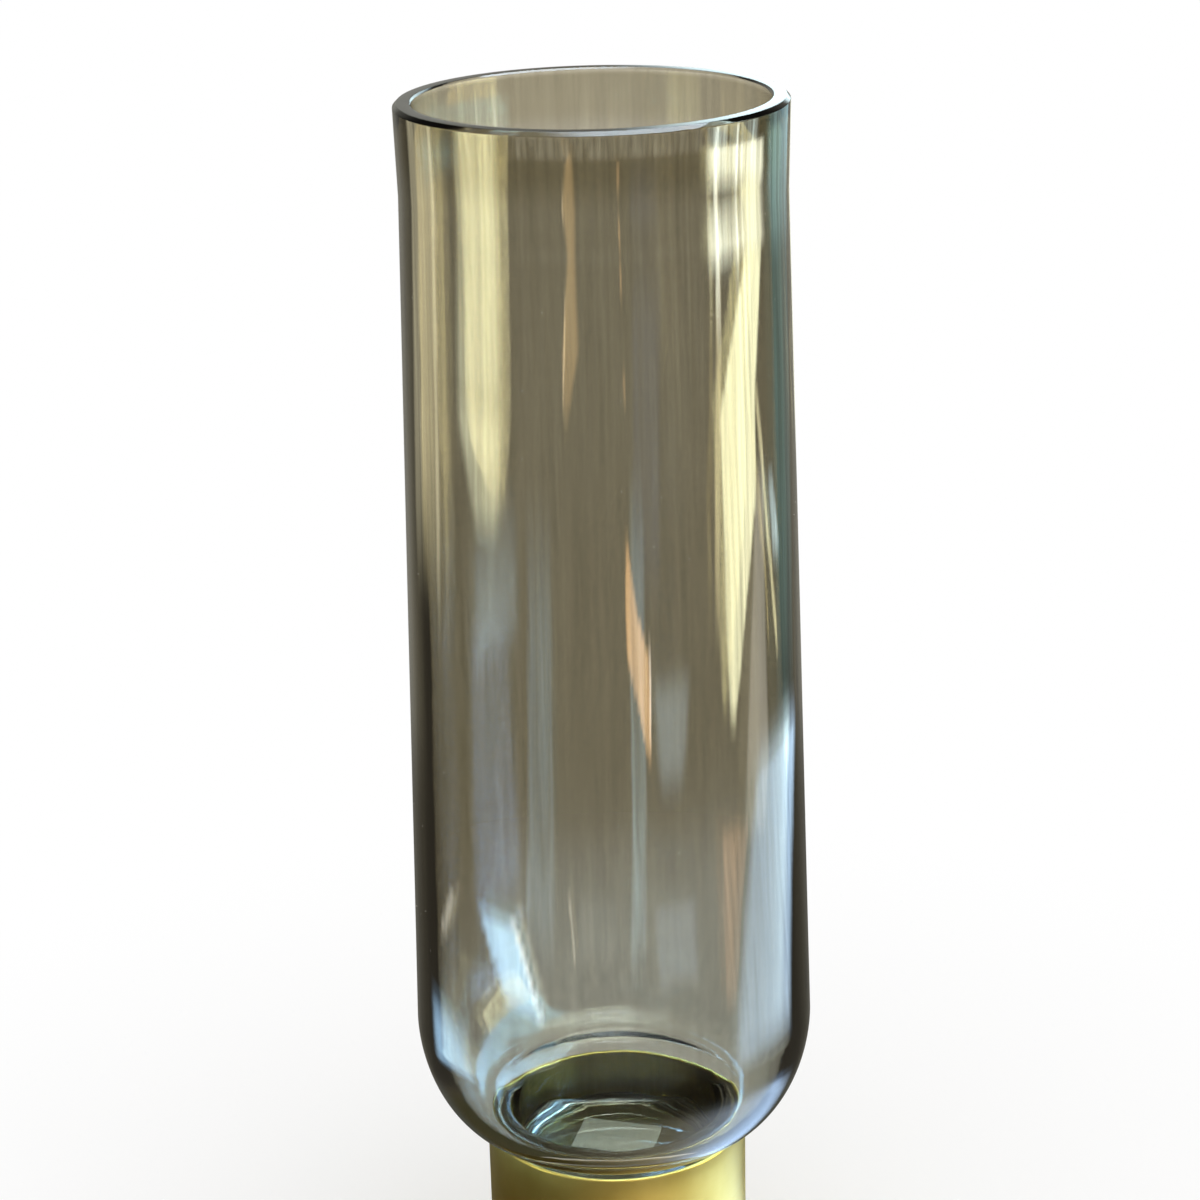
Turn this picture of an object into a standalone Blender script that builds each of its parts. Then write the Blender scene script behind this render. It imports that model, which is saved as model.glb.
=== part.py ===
"""Tall smoked glass vase whose narrow stem stands in a brass cylinder base.

Lengths are metres, +Z is up, and the underside of the foot felt lies on z = 0.
The vase's axis is the Z axis, and the side that faces the viewer is -Y.
"""

import math

import bmesh
import bpy
from mathutils import Vector

# Brass base
SLEEVE_RADIUS = 0.0442
SLEEVE_WALL = 0.0015
SLEEVE_HEIGHT = 0.078
SLEEVE_LIP_ROUND = 0.0006

# Foot and weight of the base
FOOT_FELT_THICKNESS = 0.0020
FOOT_FELT_STANDOUT = 0.0010
FOOT_FELT_INSET = 0.0025
WEIGHT_THICKNESS = 0.0060
WEIGHT_EDGE_ROUND = 0.0008

# Seat inside the base
SEAT_CUP_SHEET = 0.0012
SEAT_CUP_SKIRT = 0.0120
SEAT_CUP_CORNER = 0.0025
SEAT_PAD_THICKNESS = 0.0020
SEAT_PAD_INSET = 0.0030
LINER_THICKNESS = 0.0012
LINER_HEIGHT = 0.0080

# Glass body, outside
MOUTH_RADIUS = 0.0598
WAIST_RADIUS = 0.0593
WAIST_DROP = 0.0280
BODY_RADIUS = 0.0664
BODY_HEIGHT = 0.3440
SHOULDER_HEIGHT = 0.0370
SHOULDER_FULLNESS = 1.85

# Glass walls and stem
MOUTH_WALL = 0.0057
SHOULDER_WALL = 0.0064
STEM_WALL = 0.0062
STEM_DEPTH = 0.0230
FLOOR_THICKNESS = 0.0080
FLOOR_CORNER = 0.0060
THROAT_HEIGHT = 0.0045
THROAT_FILLET = 0.0040
RIM_ROUND = 0.0011
HEEL_ROUND = 0.0020
LABEL_RECESS_RADIUS = 0.0330
LABEL_RECESS_DEPTH = 0.0012

# Paper label under the glass floor
LABEL_LENGTH = 0.0300
LABEL_WIDTH = 0.0220
LABEL_THICKNESS = 0.0002
LABEL_CORNER = 0.0012
LABEL_BACK_OFFSET = 0.0100
LABEL_TURN = math.radians(-14.0)

# Clearances
CONTACT_GAP = 0.0003
STEM_CLEARANCE = 0.0005

# Fineness of the turned shapes
TURN_STEPS = 96
WALL_POINTS = 5
CURVE_POINTS = 10
MERGE_DISTANCE = 0.00001

# Heights that follow from the sizes
SLEEVE_BOTTOM_Z = FOOT_FELT_STANDOUT
LIP_Z = SLEEVE_BOTTOM_Z + SLEEVE_HEIGHT
WEIGHT_BOTTOM_Z = FOOT_FELT_THICKNESS + CONTACT_GAP
STEM_BOTTOM_Z = LIP_Z - STEM_DEPTH
FLOOR_Z = STEM_BOTTOM_Z + FLOOR_THICKNESS
SHOULDER_BOTTOM_Z = LIP_Z + THROAT_HEIGHT
SHOULDER_TOP_Z = SHOULDER_BOTTOM_Z + SHOULDER_HEIGHT
RIM_Z = SHOULDER_BOTTOM_Z + BODY_HEIGHT
PAD_TOP_Z = STEM_BOTTOM_Z - CONTACT_GAP
SEAT_TOP_Z = PAD_TOP_Z - SEAT_PAD_THICKNESS - CONTACT_GAP
LABEL_TOP_Z = STEM_BOTTOM_Z + LABEL_RECESS_DEPTH - CONTACT_GAP

# Radii that follow from the sizes
SLEEVE_BORE = SLEEVE_RADIUS - SLEEVE_WALL
LINER_OUTER = SLEEVE_BORE - CONTACT_GAP
LINER_INNER = LINER_OUTER - LINER_THICKNESS
STEM_RADIUS = LINER_INNER - STEM_CLEARANCE
STEM_BORE = STEM_RADIUS - STEM_WALL
SHOULDER_INNER_RADIUS = BODY_RADIUS - SHOULDER_WALL


def start_scene():
    """Remove the scene's objects and make the part's collection."""
    for old in list(bpy.data.objects):
        bpy.data.objects.remove(old)
    parts = bpy.data.collections.new("glass_vase")
    bpy.context.scene.collection.children.link(parts)
    return parts


def make_material(name, colour, roughness, metallic=0.0, transmission=0.0):
    material = bpy.data.materials.new(name)
    material.use_nodes = True
    shader = material.node_tree.nodes["Principled BSDF"]
    shader.inputs["Base Color"].default_value = (*colour, 1.0)
    shader.inputs["Roughness"].default_value = roughness
    shader.inputs["Metallic"].default_value = metallic
    shader.inputs["Transmission Weight"].default_value = transmission
    material.diffuse_color = (*colour, 1.0)
    return material


def arc(centre, radius, start, end, count):
    """Points on a round corner of a profile, angles in degrees."""
    points = []
    for index in range(count + 1):
        angle = math.radians(start + (end - start) * index / count)
        points.append((centre[0] + radius * math.cos(angle),
                       centre[1] + radius * math.sin(angle)))
    return points


def straight(start, end, count):
    """Points strictly between two ends of a straight wall."""
    points = []
    for index in range(1, count):
        share = index / count
        points.append((start[0] + (end[0] - start[0]) * share,
                       start[1] + (end[1] - start[1]) * share))
    return points


def shoulder_curve(wide, narrow, top, bottom, count):
    """Full, rounded shoulder from its wide top to its level underside."""
    power = 2.0 / SHOULDER_FULLNESS
    points = []
    for index in range(count + 1):
        angle = math.pi / 2 * index / count
        radius = narrow + (wide - narrow) * math.cos(angle) ** power
        height = top - (top - bottom) * math.sin(angle) ** power
        points.append((radius, height))
    points[-1] = (narrow, bottom)
    return points


def turned(name, profile, closed, material, collection):
    """Turn a profile of (radius, height) points about the Z axis."""
    mesh = bpy.data.meshes.new(name)
    vertices = [(radius, 0.0, height) for radius, height in profile]
    edges = [(index, index + 1) for index in range(len(profile) - 1)]
    if closed:
        edges.append((len(profile) - 1, 0))
    mesh.from_pydata(vertices, edges, [])
    turned_object = bpy.data.objects.new(name, mesh)
    collection.objects.link(turned_object)
    mesh.materials.append(material)
    screw = turned_object.modifiers.new("turn", "SCREW")
    screw.axis = "Z"
    screw.angle = math.tau
    screw.steps = TURN_STEPS
    screw.render_steps = TURN_STEPS
    screw.use_merge_vertices = True
    screw.merge_threshold = MERGE_DISTANCE
    screw.use_smooth_shade = True
    return turned_object


def disc(name, radius, thickness, centre, edge_round, material, collection):
    """Round plate or pad with softened edges."""
    bpy.ops.mesh.primitive_cylinder_add(vertices=TURN_STEPS, radius=radius, depth=thickness,
                                        location=centre)
    plate = bpy.context.object
    move_to(plate, name, collection)
    plate.data.materials.append(material)
    if edge_round > 0.0:
        bevel = plate.modifiers.new("edges", "BEVEL")
        bevel.width = edge_round
        bevel.segments = 2
        bevel.limit_method = "ANGLE"
    return plate


def move_to(moved, name, collection):
    """Name an object and leave it in one collection only."""
    for owner in list(moved.users_collection):
        owner.objects.unlink(moved)
    collection.objects.link(moved)
    moved.name = name
    moved.data.name = name


def make_glass_vessel(collection):
    """One blown piece: body, shoulder, stem and thick floor."""
    glass = make_material("smoked_glass", (0.36, 0.33, 0.27), 0.02, transmission=0.9)
    mouth_bore = MOUTH_RADIUS - MOUTH_WALL
    waist_bore = WAIST_RADIUS - MOUTH_WALL
    waist_z = RIM_Z - WAIST_DROP
    inner_bottom_z = SHOULDER_BOTTOM_Z + SHOULDER_WALL
    throat_round = SHOULDER_WALL + THROAT_FILLET
    inner_narrow = STEM_BORE + throat_round

    profile = [(0.0, FLOOR_Z)]
    profile += arc((STEM_BORE - FLOOR_CORNER, FLOOR_Z + FLOOR_CORNER), FLOOR_CORNER,
                   -90, 0, CURVE_POINTS // 2)
    profile += arc((inner_narrow, inner_bottom_z - throat_round), throat_round,
                   180, 90, CURVE_POINTS // 2)
    inner_shoulder = shoulder_curve(SHOULDER_INNER_RADIUS, inner_narrow, SHOULDER_TOP_Z,
                                    inner_bottom_z, CURVE_POINTS)
    profile += list(reversed(inner_shoulder))[1:]
    profile += straight((SHOULDER_INNER_RADIUS, SHOULDER_TOP_Z), (waist_bore, waist_z),
                        WALL_POINTS)
    profile.append((waist_bore, waist_z))
    profile += arc((mouth_bore + RIM_ROUND, RIM_Z - RIM_ROUND), RIM_ROUND, 180, 90, 3)
    profile += arc((MOUTH_RADIUS - RIM_ROUND, RIM_Z - RIM_ROUND), RIM_ROUND, 90, 0, 3)
    profile.append((WAIST_RADIUS, waist_z))
    profile += straight((WAIST_RADIUS, waist_z), (BODY_RADIUS, SHOULDER_TOP_Z), WALL_POINTS)
    profile += shoulder_curve(BODY_RADIUS, STEM_RADIUS + THROAT_FILLET, SHOULDER_TOP_Z,
                              SHOULDER_BOTTOM_Z, CURVE_POINTS)
    profile += arc((STEM_RADIUS + THROAT_FILLET, SHOULDER_BOTTOM_Z - THROAT_FILLET),
                   THROAT_FILLET, 90, 180, 4)[1:]
    profile += arc((STEM_RADIUS - HEEL_ROUND, STEM_BOTTOM_Z + HEEL_ROUND), HEEL_ROUND,
                   0, -90, 3)
    profile.append((LABEL_RECESS_RADIUS, STEM_BOTTOM_Z))
    profile.append((LABEL_RECESS_RADIUS - LABEL_RECESS_DEPTH,
                    STEM_BOTTOM_Z + LABEL_RECESS_DEPTH))
    profile.append((0.0, STEM_BOTTOM_Z + LABEL_RECESS_DEPTH))
    return turned("glass_vessel", profile, False, glass, collection)


def make_label(collection):
    """Blank paper label stuck up into the recess under the glass floor."""
    paper = make_material("label_paper", (0.62, 0.66, 0.58), 0.8)
    bpy.ops.mesh.primitive_cube_add(size=1.0)
    label = bpy.context.object
    move_to(label, "blank_label", collection)
    label.data.materials.append(paper)
    shape = bmesh.new()
    shape.from_mesh(label.data)
    bmesh.ops.scale(shape, verts=shape.verts,
                    vec=Vector((LABEL_LENGTH, LABEL_WIDTH, LABEL_THICKNESS)))
    upright = [edge for edge in shape.edges
               if abs(edge.verts[0].co.z - edge.verts[1].co.z) > LABEL_THICKNESS / 2]
    bmesh.ops.bevel(shape, geom=upright, offset=LABEL_CORNER, segments=4, profile=0.5,
                    affect="EDGES")
    shape.to_mesh(label.data)
    shape.free()
    label.location = (0.0, LABEL_BACK_OFFSET, LABEL_TOP_Z - LABEL_THICKNESS / 2)
    label.rotation_euler = (0.0, 0.0, LABEL_TURN)
    return label


def make_brass_sleeve(collection):
    """Straight brass tube with a softly rounded lip."""
    brass = make_material("brushed_brass", (0.62, 0.50, 0.20), 0.3, metallic=1.0)
    top_round = SLEEVE_LIP_ROUND
    profile = arc((SLEEVE_RADIUS - top_round, LIP_Z - top_round), top_round, 90, 0, 3)
    profile += arc((SLEEVE_RADIUS - top_round, SLEEVE_BOTTOM_Z + top_round), top_round,
                   0, -90, 3)
    profile += arc((SLEEVE_BORE + top_round, SLEEVE_BOTTOM_Z + top_round), top_round,
                   -90, -180, 3)
    profile += arc((SLEEVE_BORE + top_round, LIP_Z - top_round), top_round, 180, 90, 3)
    return turned("brass_sleeve", profile, True, brass, collection)


def make_seat_cup(collection):
    """Pressed steel cup, mouth down, soldered in the sleeve to carry the glass."""
    steel = make_material("pressed_steel", (0.45, 0.44, 0.42), 0.45, metallic=1.0)
    outer = SLEEVE_BORE - CONTACT_GAP
    inner = outer - SEAT_CUP_SHEET
    bottom_z = SEAT_TOP_Z - SEAT_CUP_SKIRT
    corner_inner = SEAT_CUP_CORNER - SEAT_CUP_SHEET
    corner_z = SEAT_TOP_Z - SEAT_CUP_CORNER
    profile = [(0.0, SEAT_TOP_Z)]
    profile += arc((outer - SEAT_CUP_CORNER, corner_z), SEAT_CUP_CORNER, 90, 0, 4)
    profile.append((outer, bottom_z))
    profile.append((inner, bottom_z))
    profile += arc((outer - SEAT_CUP_CORNER, corner_z), corner_inner, 0, 90, 4)
    profile.append((0.0, SEAT_TOP_Z - SEAT_CUP_SHEET))
    return turned("seat_cup", profile, False, steel, collection)


def make_seat_pad(collection):
    """Felt disc on the seat cup, under the glass stem."""
    felt = make_material("dark_felt", (0.05, 0.05, 0.045), 0.95)
    centre = (0.0, 0.0, PAD_TOP_Z - SEAT_PAD_THICKNESS / 2)
    return disc("seat_pad", STEM_RADIUS - SEAT_PAD_INSET, SEAT_PAD_THICKNESS, centre,
                0.0, felt, collection)


def make_liner_band(collection):
    """Felt band glued round the bore that keeps the stem off the metal."""
    felt = make_material("liner_felt", (0.07, 0.065, 0.05), 0.95)
    bottom_z = SEAT_TOP_Z + CONTACT_GAP
    bpy.ops.mesh.primitive_cylinder_add(vertices=TURN_STEPS, radius=LINER_OUTER,
                                        depth=LINER_HEIGHT, end_fill_type="NOTHING",
                                        location=(0.0, 0.0, bottom_z + LINER_HEIGHT / 2))
    band = bpy.context.object
    move_to(band, "liner_band", collection)
    band.data.materials.append(felt)
    wall = band.modifiers.new("wall", "SOLIDIFY")
    wall.thickness = LINER_THICKNESS
    wall.offset = -1.0
    wall.use_even_offset = True
    return band


def make_weight_plate(collection):
    """Thick steel plate that closes and weights the foot of the sleeve."""
    iron = make_material("steel_plate", (0.25, 0.25, 0.25), 0.5, metallic=1.0)
    centre = (0.0, 0.0, WEIGHT_BOTTOM_Z + WEIGHT_THICKNESS / 2)
    return disc("weight_plate", SLEEVE_BORE - CONTACT_GAP, WEIGHT_THICKNESS, centre,
                WEIGHT_EDGE_ROUND, iron, collection)


def make_foot_felt(collection):
    """Felt disc that the whole vase stands on."""
    felt = make_material("foot_felt", (0.04, 0.04, 0.04), 0.95)
    centre = (0.0, 0.0, FOOT_FELT_THICKNESS / 2)
    return disc("foot_felt", SLEEVE_BORE - FOOT_FELT_INSET, FOOT_FELT_THICKNESS, centre,
                0.0, felt, collection)


def main():
    parts = start_scene()
    make_foot_felt(parts)
    make_weight_plate(parts)
    make_brass_sleeve(parts)
    make_seat_cup(parts)
    make_liner_band(parts)
    make_seat_pad(parts)
    vessel = make_glass_vessel(parts)
    label = make_label(parts)
    label.parent = vessel


main()
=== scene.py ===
"""Looks of a tall smoked glass vase on a brass base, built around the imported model.

Lengths are metres and +Z is up. The viewer stands at -Y and looks along +Y.
"""

import math
import random
from collections import namedtuple

import bpy
from mathutils import Matrix, Vector, noise


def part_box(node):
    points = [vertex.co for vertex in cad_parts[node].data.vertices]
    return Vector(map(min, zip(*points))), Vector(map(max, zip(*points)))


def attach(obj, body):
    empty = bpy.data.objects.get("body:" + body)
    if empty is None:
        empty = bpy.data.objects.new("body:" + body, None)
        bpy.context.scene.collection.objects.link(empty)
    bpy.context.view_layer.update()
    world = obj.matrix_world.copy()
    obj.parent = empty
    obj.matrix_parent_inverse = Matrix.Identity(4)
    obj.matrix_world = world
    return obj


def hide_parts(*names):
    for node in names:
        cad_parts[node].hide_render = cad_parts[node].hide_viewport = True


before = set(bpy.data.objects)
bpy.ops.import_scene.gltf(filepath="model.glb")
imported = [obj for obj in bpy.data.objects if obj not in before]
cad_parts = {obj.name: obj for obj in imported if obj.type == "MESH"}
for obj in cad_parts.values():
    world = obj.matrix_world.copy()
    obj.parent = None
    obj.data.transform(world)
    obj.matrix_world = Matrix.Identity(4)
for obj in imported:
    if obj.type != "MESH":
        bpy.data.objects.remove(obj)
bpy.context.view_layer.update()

# Places and sizes read from the frame
GLASS_LOW, GLASS_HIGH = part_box("glass_vessel")
SLEEVE_LOW, SLEEVE_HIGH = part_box("brass_sleeve")
FOOT_LOW, FOOT_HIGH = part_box("foot_felt")
PAD_LOW, PAD_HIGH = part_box("seat_pad")
LINER_LOW, LINER_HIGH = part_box("liner_band")
RIM_Z = GLASS_HIGH.z
STEM_BOTTOM_Z = GLASS_LOW.z
BODY_RADIUS = GLASS_HIGH.x
LIP_Z = SLEEVE_HIGH.z
SLEEVE_BOTTOM_Z = SLEEVE_LOW.z
SLEEVE_RADIUS = SLEEVE_HIGH.x

# Sizes shared with the solids
SLEEVE_WALL = 0.0015
SLEEVE_LIP_ROUND = 0.0006
MOUTH_RADIUS = 0.0598
WAIST_RADIUS = 0.0593
WAIST_DROP = 0.0280
BODY_HEIGHT = 0.3440
SHOULDER_HEIGHT = 0.0370
SHOULDER_FULLNESS = 1.85
MOUTH_WALL = 0.0057
SHOULDER_WALL = 0.0064
STEM_WALL = 0.0062
FLOOR_THICKNESS = 0.0080
FLOOR_CORNER = 0.0060
THROAT_FILLET = 0.0040
OUTER_FACET = 0.0012
INNER_FACET = 0.0006
FACET_SOFTNESS = 0.00018
HEEL_ROUND = 0.0020
LABEL_RECESS_RADIUS = 0.0330
LABEL_RECESS_DEPTH = 0.0012
LINER_THICKNESS = 0.0012
STEM_CLEARANCE = 0.0005
CONTACT_GAP = 0.0003

SHOULDER_BOTTOM_Z = RIM_Z - BODY_HEIGHT
SHOULDER_TOP_Z = SHOULDER_BOTTOM_Z + SHOULDER_HEIGHT
FLOOR_Z = STEM_BOTTOM_Z + FLOOR_THICKNESS
STEM_RADIUS = LINER_HIGH.x - LINER_THICKNESS - STEM_CLEARANCE
STEM_BORE = STEM_RADIUS - STEM_WALL
SHOULDER_INNER_RADIUS = BODY_RADIUS - SHOULDER_WALL

# Viewing angle of the photograph
PICTURE_SIDE = 1200
FOCAL_PIXELS = 2700
SENSOR_WIDTH = 36.0
CAMERA_SIDE = 0.0010
CAMERA_DISTANCE = 0.8123
CAMERA_ABOVE_RIM = 0.1372
CAMERA_PITCH = math.radians(20.16)
CAMERA_YAW = math.radians(0.156)
CAMERA_ROLL = math.radians(-1.455)

# Fineness of the modelled surfaces
TURN_SEGMENTS = 256
SEED = 11


def arc(centre, radius, start, end, count):
    """Points on a round corner of a profile, angles in degrees."""
    points = []
    for index in range(count + 1):
        angle = math.radians(start + (end - start) * index / count)
        points.append((centre[0] + radius * math.cos(angle),
                       centre[1] + radius * math.sin(angle)))
    return points


def straight(start, end, count):
    """Points strictly between two ends of a straight wall."""
    points = []
    for index in range(1, count):
        share = index / count
        points.append((start[0] + (end[0] - start[0]) * share,
                       start[1] + (end[1] - start[1]) * share))
    return points


def shoulder_curve(wide, narrow, top, bottom, count):
    """Full, rounded shoulder from its wide top to its level underside."""
    power = 2.0 / SHOULDER_FULLNESS
    points = []
    for index in range(count + 1):
        angle = math.pi / 2 * index / count
        radius = narrow + (wide - narrow) * max(math.cos(angle), 0.0) ** power
        height = top - (top - bottom) * math.sin(angle) ** power
        points.append((radius, height))
    points[-1] = (narrow, bottom)
    return points


def eased(before, corner, after):
    """Points round one slightly softened corner of a ground facet."""
    middle = Vector(corner)
    first = middle + (Vector(before) - middle).normalized() * FACET_SOFTNESS
    last = middle + (Vector(after) - middle).normalized() * FACET_SOFTNESS
    points = []
    for index in range(5):
        share = index / 4
        point = (first * (1.0 - share) ** 2 + middle * 2.0 * share * (1.0 - share)
                 + last * share ** 2)
        points.append((point.x, point.y))
    return points


def turned_mesh(name, profile, closed, shift=None):
    """Turn (radius, height) points about Z into a smooth mesh."""
    vertices = []
    rings = []
    for number, (radius, height) in enumerate(profile):
        if radius < 1e-9:
            rings.append([len(vertices)])
            vertices.append((0.0, 0.0, height))
            continue
        ring = []
        for segment in range(TURN_SEGMENTS):
            angle = math.tau * segment / TURN_SEGMENTS
            extra = shift(angle, number, radius, height) if shift else 0.0
            ring.append(len(vertices))
            vertices.append(((radius + extra) * math.cos(angle),
                             (radius + extra) * math.sin(angle), height))
        rings.append(ring)
    pairs = list(zip(rings, rings[1:]))
    if closed:
        pairs.append((rings[-1], rings[0]))
    faces = []
    for upper, lower in pairs:
        for segment in range(TURN_SEGMENTS):
            beside = (segment + 1) % TURN_SEGMENTS
            if len(upper) == 1:
                faces.append((upper[0], lower[segment], lower[beside]))
            elif len(lower) == 1:
                faces.append((upper[segment], lower[0], upper[beside]))
            else:
                faces.append((upper[segment], lower[segment], lower[beside], upper[beside]))
    mesh = bpy.data.meshes.new(name)
    mesh.from_pydata(vertices, [], faces)
    mesh.validate()
    mesh.shade_smooth()
    return mesh


def add_piece(name, mesh, material, body, slot, *nodes):
    """Put a mesh in the scene as a piece that rides on a body."""
    piece = bpy.data.objects.new(name, mesh)
    bpy.context.scene.collection.objects.link(piece)
    mesh.materials.append(material)
    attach(piece, body)
    if nodes:
        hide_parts(*nodes)
    return piece


# Materials

def new_material(name):
    material = bpy.data.materials.new(name)
    material.use_nodes = True
    nodes = material.node_tree.nodes
    links = material.node_tree.links
    shader = nodes["Principled BSDF"]
    return material, nodes, links, shader


def object_noise(nodes, links, stretch, scale, detail, roughness=0.5):
    """Noise in the object's own coordinates, stretched along its axes."""
    place = nodes.new("ShaderNodeTexCoord")
    mapping = nodes.new("ShaderNodeMapping")
    mapping.inputs["Scale"].default_value = stretch
    texture = nodes.new("ShaderNodeTexNoise")
    texture.inputs["Scale"].default_value = scale
    texture.inputs["Detail"].default_value = detail
    texture.inputs["Roughness"].default_value = roughness
    links.new(place.outputs["Object"], mapping.inputs["Vector"])
    links.new(mapping.outputs["Vector"], texture.inputs["Vector"])
    return texture


def ramp(nodes, links, source, low, high, low_colour, high_colour):
    """Colour that runs between two colours as a value runs from low to high."""
    colours = nodes.new("ShaderNodeValToRGB")
    colours.color_ramp.elements[0].position = low
    colours.color_ramp.elements[0].color = (*low_colour, 1.0)
    colours.color_ramp.elements[1].position = high
    colours.color_ramp.elements[1].color = (*high_colour, 1.0)
    links.new(source, colours.inputs["Fac"])
    return colours


def span(nodes, links, source, low, high):
    """Value from 0 to 1 mapped to a range."""
    value = nodes.new("ShaderNodeMapRange")
    value.inputs["To Min"].default_value = low
    value.inputs["To Max"].default_value = high
    links.new(source, value.inputs["Value"])
    return value


def smooth_fade(nodes, links, source, none_at, full_at):
    """0 to 1, rising softly as a value runs from one limit to another."""
    fade = nodes.new("ShaderNodeMapRange")
    fade.interpolation_type = "SMOOTHSTEP"
    fade.inputs["From Min"].default_value = none_at
    fade.inputs["From Max"].default_value = full_at
    links.new(source, fade.inputs["Value"])
    return fade.outputs["Result"]


def calculate(nodes, links, operation, first, second):
    """Math node on two values, each a socket or a plain number."""
    node = nodes.new("ShaderNodeMath")
    node.operation = operation
    for socket, value in zip(node.inputs, (first, second)):
        if isinstance(value, float):
            socket.default_value = value
        else:
            links.new(value, socket)
    return node.outputs["Value"]


def bump(nodes, links, source, shader, strength, distance):
    """Fine relief in the shading only."""
    relief = nodes.new("ShaderNodeBump")
    relief.inputs["Strength"].default_value = strength
    relief.inputs["Distance"].default_value = distance
    links.new(source, relief.inputs["Height"])
    links.new(relief.outputs["Normal"], shader.inputs["Normal"])


# Tint of the glass. Heights are metres above the shoulder's foot or below the rim.
GLASS_ABSORPTION_DENSITY = 40.0
GLASS_ABSORPTION_COLOUR = (0.41, 0.36, 0.21, 1.0)
SMOKE_DEEP = (0.425, 0.400, 0.325)
SMOKE_THIN = (0.550, 0.525, 0.437)
STEM_TINT = (0.84, 0.86, 0.83, 1.0)
STEM_TINT_END = 0.010
# Painted sheen: the glass over the lower body and shoulder is made paler and bluer, brighter than
# glass can be, for the bluish sky it reflects
SHOULDER_SHEEN_TINT = (1.26, 1.36, 1.58, 1.0)
SHOULDER_SHEEN_START = 0.090
SHOULDER_SHEEN_FULL = 0.010
RIM_TINT = (0.76, 0.72, 0.62, 1.0)
RIM_TINT_START = 0.026
RIM_TINT_FULL = 0.012
# Painted highlight: in the last few millimetres below the rim the glass turns pale blue and
# brighter than glass can be, for the bright line that light makes along the rim's edge
RIM_HIGHLIGHT_TINT = (1.60, 1.65, 1.85, 1.0)
RIM_HIGHLIGHT_START = 0.0024
RIM_HIGHLIGHT_FULL = 0.0010
GLASS_SHADE = (0.94, 0.94, 0.94, 1.0)


def tint_towards(nodes, links, colour, height, none_at, full_at, tint):
    """Multiply a colour by a tint that grows from one height to another."""
    product = nodes.new("ShaderNodeMix")
    product.data_type = "RGBA"
    product.blend_type = "MULTIPLY"
    product.inputs["B"].default_value = tint
    links.new(smooth_fade(nodes, links, height, none_at, full_at), product.inputs["Factor"])
    links.new(colour, product.inputs["A"])
    return product.outputs["Result"]


def glass_tint(nodes, links):
    """Smoke in fine draw lines, gone in the stem and darker and warmer just below the rim, with a
    painted pale bluish sheen over the lower body and shoulder and a painted pale blue highlight
    along the rim.
    """
    drawn = object_noise(nodes, links, (1.0, 1.0, 0.030), 300.0, 4.0, 0.7)
    smoke = ramp(nodes, links, drawn.outputs["Fac"], 0.3, 0.7, SMOKE_DEEP, SMOKE_THIN)
    place = nodes.new("ShaderNodeTexCoord")
    split = nodes.new("ShaderNodeSeparateXYZ")
    links.new(place.outputs["Object"], split.inputs["Vector"])
    height = split.outputs["Z"]
    # Painted pale bluish sheen over the lower body and shoulder
    with_sheen = tint_towards(nodes, links, smoke.outputs["Color"], height,
                         SHOULDER_BOTTOM_Z + SHOULDER_SHEEN_START,
                         SHOULDER_BOTTOM_Z + SHOULDER_SHEEN_FULL, SHOULDER_SHEEN_TINT)
    above_stem = nodes.new("ShaderNodeMix")
    above_stem.data_type = "RGBA"
    above_stem.inputs["A"].default_value = STEM_TINT
    links.new(smooth_fade(nodes, links, height, SHOULDER_BOTTOM_Z,
                          SHOULDER_BOTTOM_Z + STEM_TINT_END), above_stem.inputs["Factor"])
    links.new(with_sheen, above_stem.inputs["B"])
    deeper = tint_towards(nodes, links, above_stem.outputs["Result"], height,
                          RIM_Z - RIM_TINT_START, RIM_Z - RIM_TINT_FULL, RIM_TINT)
    # Painted pale blue highlight along the rim
    return tint_towards(nodes, links, deeper, height, RIM_Z - RIM_HIGHLIGHT_START,
                        RIM_Z - RIM_HIGHLIGHT_FULL, RIM_HIGHLIGHT_TINT)


def smoked_glass():
    """Clear glass with a smoke tint that carries a painted sheen and highlight, faint ripples and a
    light shadow.
    """
    material, nodes, links, shader = new_material("smoked_glass_look")
    shader.inputs["Roughness"].default_value = 0.0
    shader.inputs["IOR"].default_value = 1.5
    shader.inputs["Transmission Weight"].default_value = 1.0
    links.new(glass_tint(nodes, links), shader.inputs["Base Color"])
    ripples = object_noise(nodes, links, (1.0, 1.0, 0.12), 90.0, 2.0, 0.4)
    bump(nodes, links, ripples.outputs["Fac"], shader, 0.25, 0.0004)
    absorption = nodes.new("ShaderNodeVolumeAbsorption")
    absorption.inputs["Color"].default_value = GLASS_ABSORPTION_COLOUR
    absorption.inputs["Density"].default_value = GLASS_ABSORPTION_DENSITY
    path = nodes.new("ShaderNodeLightPath")
    clear = nodes.new("ShaderNodeBsdfTransparent")
    clear.inputs["Color"].default_value = GLASS_SHADE
    lets_light = nodes.new("ShaderNodeMixShader")
    links.new(path.outputs["Is Shadow Ray"], lets_light.inputs["Fac"])
    links.new(shader.outputs["BSDF"], lets_light.inputs[1])
    links.new(clear.outputs["BSDF"], lets_light.inputs[2])
    output = nodes["Material Output"]
    links.new(lets_light.outputs["Shader"], output.inputs["Surface"])
    links.new(absorption.outputs["Volume"], output.inputs["Volume"])
    return material


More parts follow.
